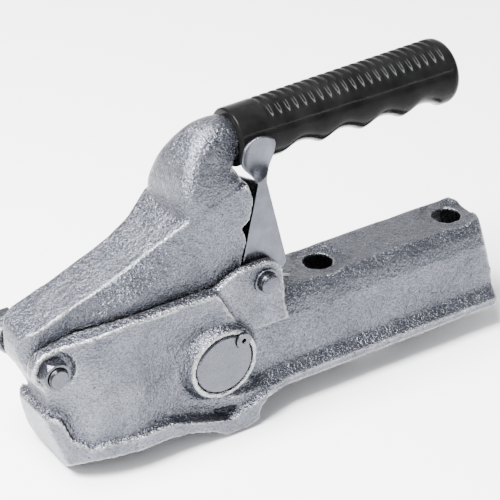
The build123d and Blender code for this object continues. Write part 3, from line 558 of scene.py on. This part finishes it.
# Painted shade on the threaded end's outer surface, darkened as its grooves would be in shade.
carry(bolt.data, "inside", thread_shade * (has_thread & (bolt_radius > shade_from_radius)))
nut = rounded_copy("nut_pressing", "lever_nut", "body", cell=0.3 * mm, rounds=6)
cast_surface(nut, machined_zinc, seed=22, height=0.01 * mm)
washer = rounded_copy("washer_pressing", "lever_washer", "body", cell=0.35 * mm, rounds=2)
cast_surface(washer, machined_zinc, seed=23, height=0.01 * mm)
print("thread to y", (nut_high[1] + thread_past_nut).round(4))

# %% [markdown]
# ## Trigger pin, its rings and the lock pin
# The trigger's pin has a ring in a turned groove at each end, and its ends are slightly domed. The
# groove is a bell curve along the pin that lowers the radius, and the dome a paraboloid.

# %% Trigger pin and lock pin
def turned_end(points, axis, radius, reach, groove_at, groove_width, groove_depth, dome):
    """Radius less groove_depth x bell, and the ends lowered by dome x (distance / radius)^2.

    The bell is exp(-((y - groove_at) / groove_width)^2), on both ends alike. The dome's full depth
    is reached at the very end of the pin and fades to nothing over the 1.2 mm before it.
    """
    dome_fade = 1.2 * mm
    out = points[:, [0, 2]] - np.array(axis)
    distance = np.linalg.norm(out, axis=1)
    along_pin = np.abs(points[:, 1])
    bell = np.exp(-((along_pin - groove_at) / groove_width) ** 2) * (distance > 0.7 * radius)
    at_end = np.clip((along_pin - reach + dome_fade) / dome_fade, 0, 1)
    moved = points.copy()
    moved[:, [0, 2]] -= out / np.maximum(distance, 1e-6)[:, None] * (groove_depth * bell)[:, None]
    moved[:, 1] -= np.sign(points[:, 1]) * dome * at_end * (distance / radius) ** 2
    return moved, bell


trigger_pin = rounded_copy("trigger_pin_turning", "trigger_pin", "body", cell=0.35 * mm, rounds=2)
pin_low, pin_high = (np.array(corner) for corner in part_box("trigger_pin"))
pin_end = pin_high[1]
ends, groove_shade = turned_end(
    numbers(trigger_pin.data.vertices, "co", 3),
    axis=((pin_low[0] + pin_high[0]) / 2, (pin_low[2] + pin_high[2]) / 2),
    radius=5 * mm,
    reach=pin_end,
    groove_at=pin_end - 2.1 * mm,
    groove_width=0.5 * mm,
    groove_depth=0.5 * mm,
    dome=0.7 * mm,
)
trigger_pin.data.vertices.foreach_set("co", ends.ravel())
cast_surface(trigger_pin, machined_zinc, seed=24, height=0.005 * mm)
# Painted shade in the ring grooves.
carry(trigger_pin.data, "inside", 0.9 * groove_shade)
clip = rounded_copy("clip_rings", "trigger_clip", "body", cell=0.3 * mm, rounds=1)
cast_surface(clip, machined_zinc, seed=25, height=0.005 * mm)
lock = rounded_copy("lock_pin_turning", "jaw_pin_lock", "body", cell=0.35 * mm, rounds=2)
cast_surface(lock, machined_zinc, seed=26, height=0.005 * mm)
print("pin reaches y", pin_end.round(4))

# %% [markdown]
# ## The grip
# A tube whose radius changes along and around it. It starts as a cone, gets ribs on its upper side
# and four grooves for the fingers below, and ends in rounded edges. Everything is worked out for a
# grid of points, rows along the grip and columns around it.

# %% Grip formulas
def rib_valleys(x, up, first, pitch, count, depth):
    """Depth x share, where the share is 1 in a valley and 0 on the rib between two valleys.

    Along the grip the share is 1.6 x (0.5 + 0.5 cos(2 pi (x - first) / pitch)) - 0.3, cut off at
    0 and at 1. Around it, up is the cosine of the turn: the share fades in from 0.64 to 0.84, so
    only the upper side has ribs.
    """
    zone = (x > first - pitch / 2) & (x < first + (count - 0.5) * pitch)
    wave = 0.5 + 0.5 * np.cos(2 * np.pi * (x - first) / pitch)
    on_top = np.clip((up - 0.64) / 0.20, 0, 1)
    return depth * np.clip(1.6 * wave - 0.3, 0, 1) * zone * on_top


def finger_grooves(radius, x, turn, first, pitch, count, depth, lift, soft):
    """The radius with grooves below: the smaller of it and a ring's, blended over soft.

    Lengthwise a groove is an arc of a circle whose chord is the pitch and whose height is depth, so
    its radius is (pitch^2 / 4 + depth^2) / (2 depth). Across, it is a ring whose centre lies lift
    above the grip's axis, so that it cuts in below and fades out at the sides.
    """
    zone = (x > first - pitch / 2) & (x < first + (count - 0.5) * pitch)
    arc = (pitch ** 2 / 4 + depth ** 2) / (2 * depth)
    from_middle = (x - first + pitch / 2) % pitch - pitch / 2
    ring = radius - depth + lift + arc - np.sqrt(np.clip(arc ** 2 - from_middle ** 2, 0, None))
    aside = lift * np.sin(turn)
    grooved = lift * np.cos(turn) + np.sqrt(np.clip(ring ** 2 - aside ** 2, 0, None))
    grooved = np.where(zone, grooved, radius)
    blended = -soft * np.logaddexp(-radius / soft, -grooved / soft)
    return np.where(zone, np.minimum(blended, radius), radius)


def edge_fall(from_end, rounding):
    """How far a quarter circle of radius rounding falls below its top, by distance from the end."""
    fall = np.clip(1 - from_end / rounding, 0, 1)
    return rounding * (1 - np.sqrt(np.clip(1 - fall ** 2, 0, 1)))


print("grip formulas 3")

# %% [markdown]
# The grip fills the CAD grip's box from front to rear, so its length, its axis and its rear radius
# are read from there. The rest was judged by the photograph.

# %% Grip shape
grip_low, grip_high = (np.array(corner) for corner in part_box("handle_grip"))
grip_length = grip_high[0] - grip_low[0]
grip_axis_z = (grip_low[2] + grip_high[2]) / 2
grip_rows, grip_columns = 620, 144
front_radius = 14.4 * mm
rear_radius = (grip_high[2] - grip_low[2]) / 2

from_front = np.linspace(0, 1, grip_rows)[:, None] * grip_length
turn = np.linspace(0, 2 * np.pi, grip_columns, endpoint=False)[None, :]
radius = front_radius + (rear_radius - front_radius) * from_front / grip_length
radius = finger_grooves(radius, from_front, turn, first=35.8 * mm, pitch=23.6 * mm, count=4,
                        depth=3.8 * mm, lift=4.6 * mm, soft=0.5 * mm)
radius = radius - rib_valleys(from_front, np.cos(turn), first=18.2 * mm, pitch=4.7 * mm,
                              count=22, depth=1.15 * mm)
radius = radius - edge_fall(grip_length - from_front, rounding=6.0 * mm)
radius = radius - edge_fall(from_front, rounding=1.2 * mm)
grip_points = np.stack([
    np.broadcast_to(grip_low[0] + from_front, radius.shape),
    radius * np.sin(turn),
    grip_axis_z + radius * np.cos(turn),
], axis=-1)
print("grip radius", radius.min().round(4), "to", radius.max().round(4))

# %% [markdown]
# The grid is closed around its columns, and each end is capped by a fan of triangles.

# %% Grip mesh
def closed_grid(name, points):
    """Mesh from a grid of points (rows, columns, 3) closed around its columns, both ends capped."""
    rows, columns = points.shape[:2]
    verts = points.reshape(-1, 3)
    ends = np.stack([points[0].mean(axis=0), points[-1].mean(axis=0)])
    row, column = np.meshgrid(np.arange(rows - 1), np.arange(columns), indexing="ij")
    beside = (column + 1) % columns
    quads = np.stack([
        row * columns + column, row * columns + beside,
        (row + 1) * columns + beside, (row + 1) * columns + column,
    ], axis=-1).reshape(-1, 4)
    around = np.arange(columns)
    after = (around + 1) % columns
    first = np.stack([np.full(columns, rows * columns), after, around], axis=1)
    last = np.stack([
        np.full(columns, rows * columns + 1),
        (rows - 1) * columns + around, (rows - 1) * columns + after,
    ], axis=1)
    mesh = bpy.data.meshes.new(name)
    mesh.from_pydata(np.concatenate([verts, ends]).tolist(), [],
                     quads.tolist() + first.tolist() + last.tolist())
    mesh.shade_smooth()
    piece = bpy.data.objects.new(name, mesh)
    bpy.context.collection.objects.link(piece)
    return piece


grip = closed_grid("grip", grip_points)
grip.data.materials.append(black_grip)
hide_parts("handle_grip")
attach(grip, "handle")
print("grip faces", len(grip.data.polygons))

# %% [markdown]
# ## The other CAD nodes
# Their shapes are right as they are, so only the finish changes.

# %% Finishes on CAD nodes
node_finish = {
    "lever_bush": bush_bronze, "jaw_bush": bush_bronze,
    "locking_wedge": hard_steel, "trigger_catch": hard_steel,
    "wedge_rivets": zinc_plate, "catch_rivets": zinc_plate, "trigger_washers": zinc_plate,
    "jaw_spring": spring_wire, "trigger_spring": spring_wire,
}
for name, finish in node_finish.items():
    mesh = nodes[name].data
    mesh.materials.clear()
    mesh.materials.append(finish)
print("finished nodes", len(node_finish))
